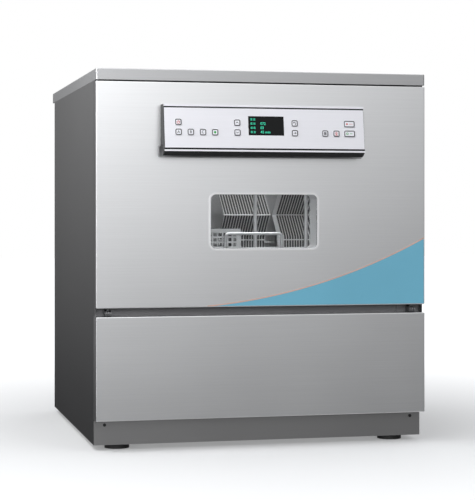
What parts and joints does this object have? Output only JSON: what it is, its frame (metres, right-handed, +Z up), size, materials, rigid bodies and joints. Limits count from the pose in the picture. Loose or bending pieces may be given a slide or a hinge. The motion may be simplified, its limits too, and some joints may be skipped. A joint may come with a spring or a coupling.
{
  "type": "laboratory glassware washer",
  "caption": "Under-counter laboratory glassware washer with a drop-down windowed door, sloping key panel, sliding baskets and rotating spray arms.",
  "frame": {"origin": "centre of the object's box in plan, on the floor under the feet", "axes": "+Z up, -Y is the front with the door, +X is to the right seen from the front"},
  "size_m": [0.752, 0.838, 0.835],
  "materials": {
    "brushed_front": "brushed sideways",
    "side_paint": "satin",
    "zinc_sheet": "dull zinc",
    "frame_steel": "satin",
    "dark_plinth": "satin",
    "screw_steel": "bright",
    "foot_plastic": "matte",
    "chamber_steel": "satin",
    "seal_rubber": "matte",
    "filter_mesh": "satin",
    "heater_steel": "satin",
    "arm_steel": "satin",
    "wire_steel": "bright",
    "pump_paint": "cast",
    "hose_rubber": "matte",
    "pump_plastic": "matte",
    "valve_plastic": "matte",
    "housing_black": "satin",
    "fitting_plastic": "matte",
    "spring_steel": "dull",
    "lock_steel": "satin",
    "polished_trim": "polished",
    "window_glass": "clear",
    "fascia_aluminium": "brushed sideways",
    "display_panel": "gloss",
    "circuit_board": "satin",
    "pocket_grey": "satin",
    "key_plastic": "satin"
  },
  "bodies": {
    "cabinet": {"worktop": "brushed_front", "service_panel": "brushed_front", "side_panel_left": "side_paint", "side_panel_right": "side_paint", "rear_panel": "zinc_sheet", "base_tray": "zinc_sheet", "chassis_frame": "frame_steel", "kick_plate": "dark_plinth", "fixing_screws": "screw_steel", "levelling_feet": "foot_plastic", "wash_chamber": "chamber_steel", "door_gasket": "seal_rubber", "rack_rails": "chamber_steel", "sump": "chamber_steel", "sump_filter": "filter_mesh", "heater_element": "heater_steel", "spray_arm_hubs": "chamber_steel", "circulation_pump": "pump_paint", "feed_pipes": "chamber_steel", "water_hoses": "hose_rubber", "drain_pump": "pump_plastic", "inlet_valves": "valve_plastic", "dosing_pumps": "pump_plastic", "control_box": "housing_black", "rear_connections": "fitting_plastic", "hinge_brackets": "frame_steel", "door_springs": "spring_steel", "door_lock": "lock_steel"},
    "door": {"door_skin": "brushed_front", "door_liner": "chamber_steel", "window_frame": "polished_trim", "window_glass": "window_glass", "control_housing": "housing_black", "fascia": "fascia_aluminium", "display": "display_panel", "control_board": "circuit_board", "grip_pocket": "pocket_grey", "hinge_arms": "frame_steel"},
    "lower_basket": {"lower_basket": "wire_steel", "dish_combs": "wire_steel", "injector_pillars": "wire_steel"},
    "upper_basket": {"upper_basket": "wire_steel"},
    "parts_basket": {"parts_basket": "wire_steel"},
    "spray_arm_bottom": {"spray_arm_bottom": "arm_steel"},
    "spray_arm_middle": {"spray_arm_middle": "arm_steel"},
    "spray_arm_top": {"spray_arm_top": "arm_steel"},
    "door_lock_bolt": {"door_lock_bolt": "lock_steel"},
    "key_power": {"key_power": "key_plastic"},
    "key_program_a": {"key_program_a": "key_plastic"},
    "key_program_b": {"key_program_b": "key_plastic"},
    "key_program_c": {"key_program_c": "key_plastic"},
    "key_start": {"key_start": "key_plastic"},
    "key_up": {"key_up": "key_plastic"},
    "key_down": {"key_down": "key_plastic"},
    "key_back": {"key_back": "key_plastic"},
    "key_enter": {"key_enter": "key_plastic"},
    "key_print": {"key_print": "key_plastic"},
    "key_service": {"key_service": "key_plastic"},
    "key_stop": {"key_stop": "key_plastic"},
    "key_run": {"key_run": "key_plastic"}
  },
  "joints": [
    {"name": "door_hinge", "type": "hinge", "parent": "cabinet", "child": "door", "pos_m": [0, -0.36101, 0.301], "axis": [1, 0, 0], "range_deg": [0, 90], "stiffness_Nm_per_rad": 19, "deforming": ["door_springs"]},
    {"name": "lower_basket_slide", "type": "slide", "parent": "cabinet", "child": "lower_basket", "axis": [0, -1, 0], "range_m": [0, 0.209]},
    {"name": "upper_basket_slide", "type": "slide", "parent": "cabinet", "child": "upper_basket", "axis": [0, -1, 0], "range_m": [0, 0.2985]},
    {"name": "spray_arm_bottom_spin", "type": "hinge", "parent": "cabinet", "child": "spray_arm_bottom", "pos_m": [0, -0.07101, 0.369], "axis": [0, 0, 1], "continuous": true},
    {"name": "spray_arm_middle_spin", "type": "hinge", "parent": "upper_basket", "child": "spray_arm_middle", "pos_m": [0, -0.07101, 0.588], "axis": [0, 0, 1], "continuous": true},
    {"name": "spray_arm_top_spin", "type": "hinge", "parent": "cabinet", "child": "spray_arm_top", "pos_m": [0, -0.07101, 0.7418], "axis": [0, 0, 1], "continuous": true},
    {"name": "parts_basket_lift", "type": "slide", "parent": "lower_basket", "child": "parts_basket", "axis": [0, 0, 1], "range_m": [0, 0.08]},
    {"name": "door_lock_bolt_slide", "type": "slide", "parent": "cabinet", "child": "door_lock_bolt", "axis": [-1, 0, 0], "range_m": [0, 0.008], "stiffness_N_per_m": 200},
    {"name": "key_power_press", "type": "slide", "parent": "door", "child": "key_power", "axis": [0, 0.9896, -0.1442], "range_m": [0, 0.0008], "stiffness_N_per_m": 1500},
    {"name": "key_program_a_press", "type": "slide", "parent": "door", "child": "key_program_a", "axis": [0, 0.9896, -0.1442], "range_m": [0, 0.0008], "stiffness_N_per_m": 1500},
    {"name": "key_program_b_press", "type": "slide", "parent": "door", "child": "key_program_b", "axis": [0, 0.9896, -0.1442], "range_m": [0, 0.0008], "stiffness_N_per_m": 1500},
    {"name": "key_program_c_press", "type": "slide", "parent": "door", "child": "key_program_c", "axis": [0, 0.9896, -0.1442], "range_m": [0, 0.0008], "stiffness_N_per_m": 1500},
    {"name": "key_start_press", "type": "slide", "parent": "door", "child": "key_start", "axis": [0, 0.9896, -0.1442], "range_m": [0, 0.0008], "stiffness_N_per_m": 1500},
    {"name": "key_up_press", "type": "slide", "parent": "door", "child": "key_up", "axis": [0, 0.9896, -0.1442], "range_m": [0, 0.0008], "stiffness_N_per_m": 1500},
    {"name": "key_down_press", "type": "slide", "parent": "door", "child": "key_down", "axis": [0, 0.9896, -0.1442], "range_m": [0, 0.0008], "stiffness_N_per_m": 1500},
    {"name": "key_back_press", "type": "slide", "parent": "door", "child": "key_back", "axis": [0, 0.9896, -0.1442], "range_m": [0, 0.0008], "stiffness_N_per_m": 1500},
    {"name": "key_enter_press", "type": "slide", "parent": "door", "child": "key_enter", "axis": [0, 0.9896, -0.1442], "range_m": [0, 0.0008], "stiffness_N_per_m": 1500},
    {"name": "key_print_press", "type": "slide", "parent": "door", "child": "key_print", "axis": [0, 0.9896, -0.1442], "range_m": [0, 0.0008], "stiffness_N_per_m": 1500},
    {"name": "key_service_press", "type": "slide", "parent": "door", "child": "key_service", "axis": [0, 0.9896, -0.1442], "range_m": [0, 0.0008], "stiffness_N_per_m": 1500},
    {"name": "key_stop_press", "type": "slide", "parent": "door", "child": "key_stop", "axis": [0, 0.9896, -0.1442], "range_m": [0, 0.0008], "stiffness_N_per_m": 1500},
    {"name": "key_run_press", "type": "slide", "parent": "door", "child": "key_run", "axis": [0, 0.9896, -0.1442], "range_m": [0, 0.0008], "stiffness_N_per_m": 1500}
  ],
  "couplings": [
    {"joint": "lower_basket_slide", "follows": "door_hinge", "m_per_rad": 0.133},
    {"joint": "upper_basket_slide", "follows": "door_hinge", "m_per_rad": 0.19}
  ]
}
